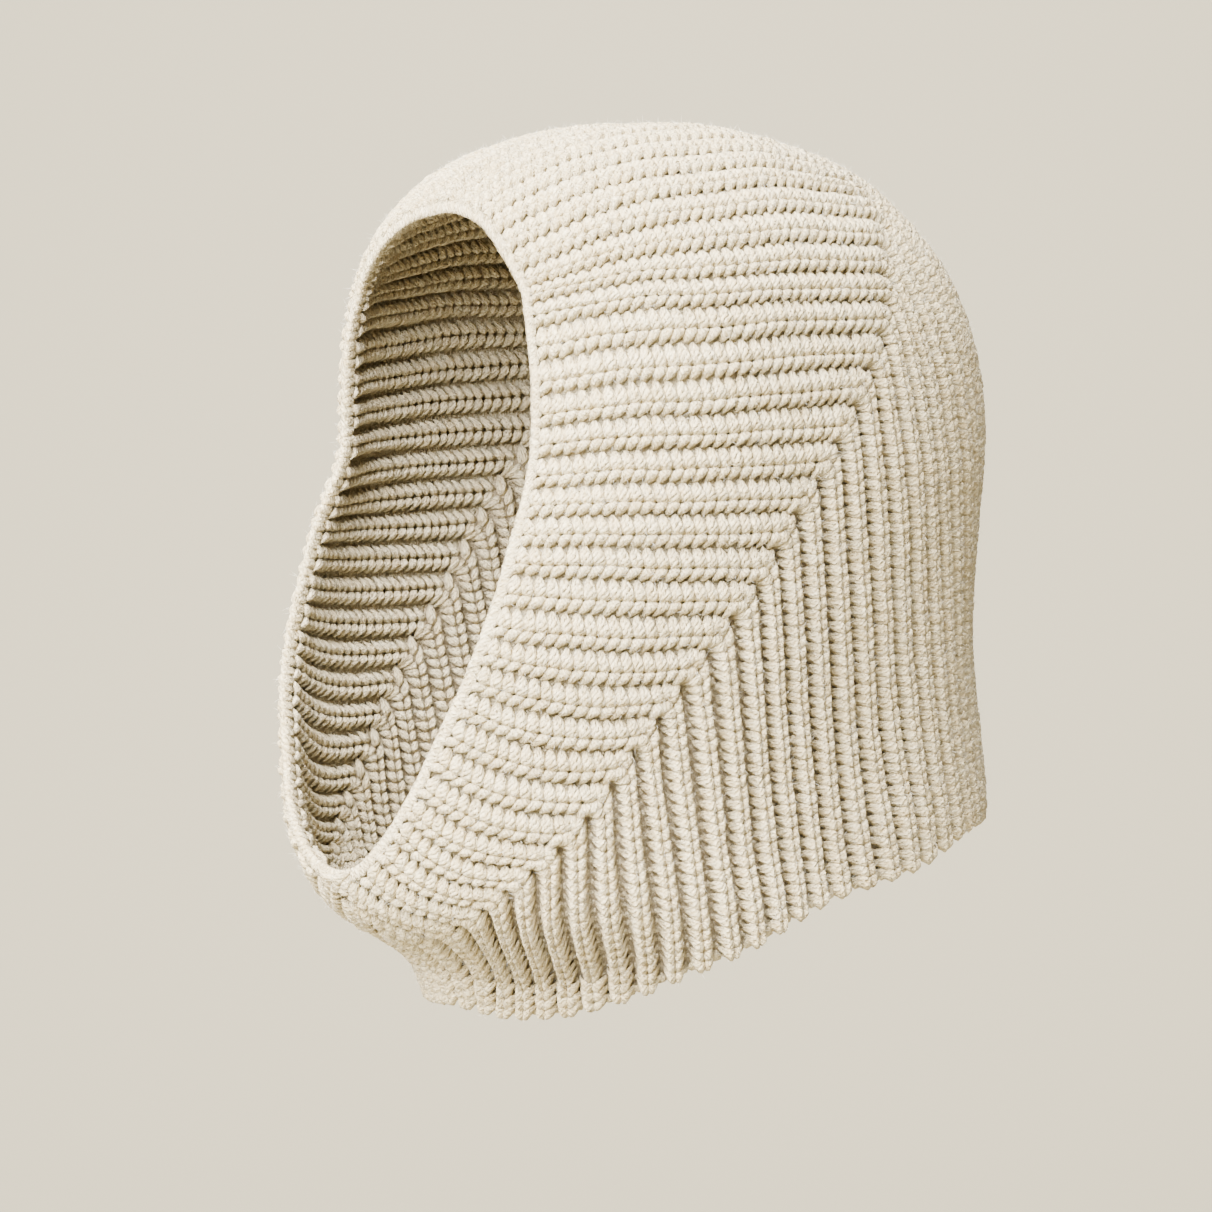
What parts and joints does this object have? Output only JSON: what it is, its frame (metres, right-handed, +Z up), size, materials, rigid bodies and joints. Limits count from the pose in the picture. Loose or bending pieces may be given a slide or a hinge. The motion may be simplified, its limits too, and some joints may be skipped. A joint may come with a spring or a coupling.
{
  "type": "knit balaclava hood",
  "caption": "Chunky rib-knit balaclava hood in its worn form, with an oval face opening, a mitred front and back, and a bound-off neck.",
  "frame": {"origin": "top of the inside of the crown, where the hood sits on a head", "axes": "+Z up, the face opening towards -Y, +X towards the wearer's left"},
  "size_m": [0.1678, 0.2203, 0.2589],
  "materials": {
    "front_panel_yarn": "matt chunky wool",
    "back_panel_yarn": "matt chunky wool",
    "face_edge_yarn": "matt chunky wool",
    "hem_band_yarn": "matt chunky wool"
  },
  "bodies": {
    "root": {"front_panel": "front_panel_yarn", "back_panel": "back_panel_yarn", "face_edge": "face_edge_yarn", "hem_band": "hem_band_yarn"}
  },
  "joints": []
}
